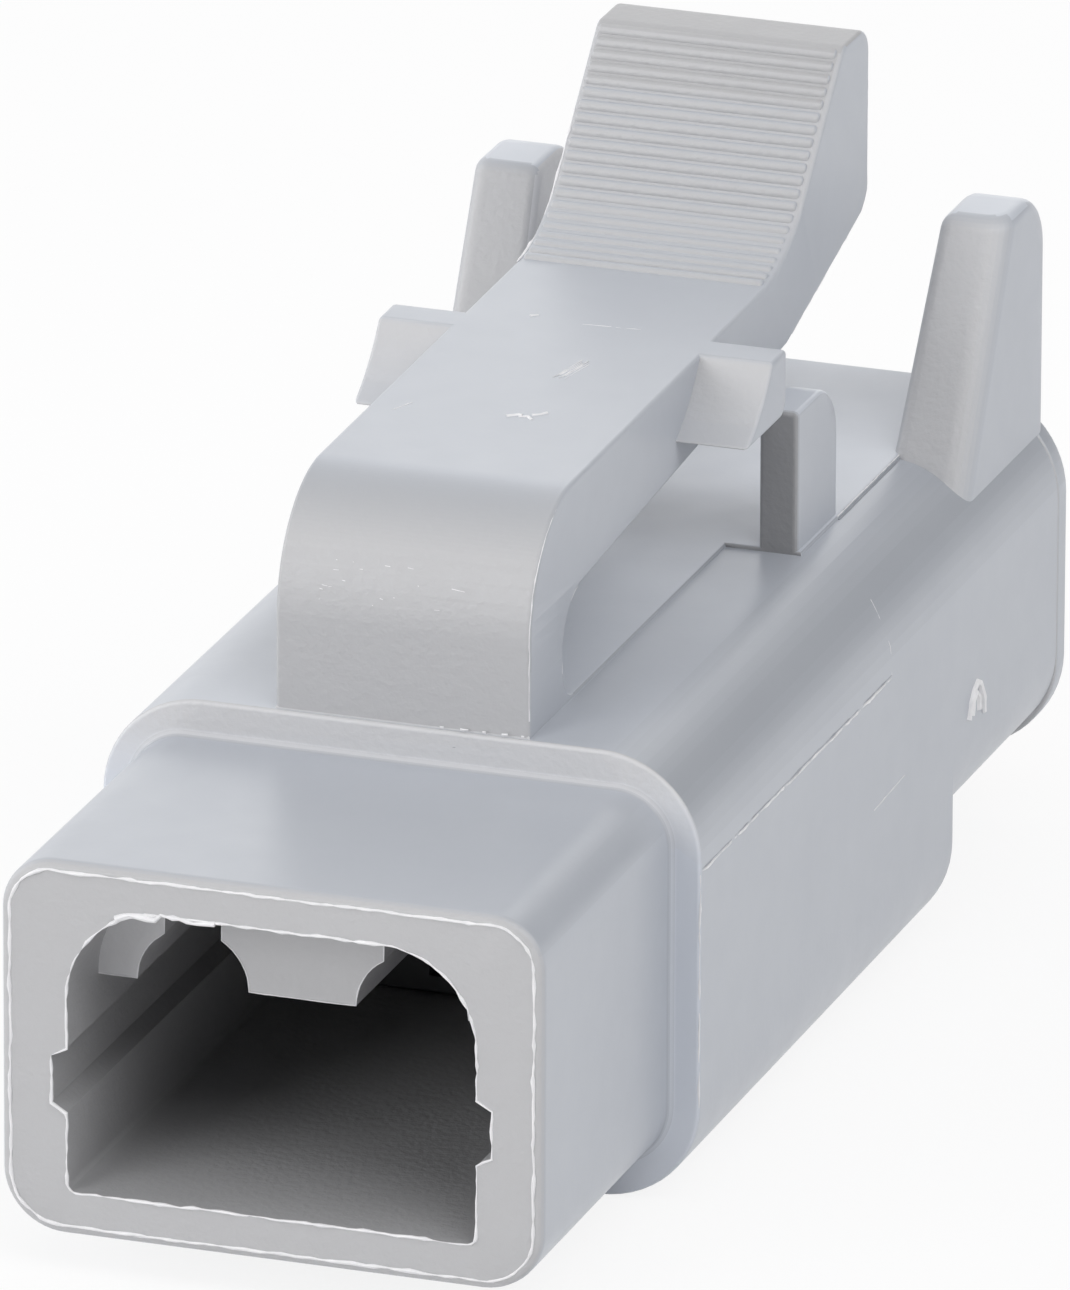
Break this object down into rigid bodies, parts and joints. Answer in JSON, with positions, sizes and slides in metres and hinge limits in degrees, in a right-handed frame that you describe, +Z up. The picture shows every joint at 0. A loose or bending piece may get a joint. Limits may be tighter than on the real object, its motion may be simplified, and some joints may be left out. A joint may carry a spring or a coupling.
{
  "type": "sealed wire-to-wire connector receptacle",
  "caption": "Grey moulded sealed connector receptacle with a keyed rectangular shroud, thumb latch lever, guard fins, pin contacts, wedge lock and rear wire seal.",
  "frame": {"origin": "middle of the overall box, on the plane that the body rests on", "axes": "+Y from the mating rim to the wire side, +Z up towards the latch, +X to the right seen from the mating side"},
  "size_m": [0.0172, 0.0424, 0.0243],
  "materials": {
    "grey_moulding": "fine moulded satin",
    "charcoal_moulding": "moulded satin",
    "nickel_plate": "bright nickel plate",
    "silicone": "matt silicone"
  },
  "bodies": {
    "housing": {"receptacle_housing": "grey_moulding", "wedge_lock": "charcoal_moulding", "contact_pin_left": "nickel_plate", "contact_pin_right": "nickel_plate", "wire_seal": "silicone"},
    "latch": {"latch_lever": "grey_moulding"}
  },
  "joints": [
    {"name": "latch_press", "type": "hinge", "parent": "housing", "child": "latch", "pos_m": [0, -0.0071, 0.0138], "axis": [-1, 0, 0], "range_deg": [0, 5], "stiffness_Nm_per_rad": 5}
  ]
}
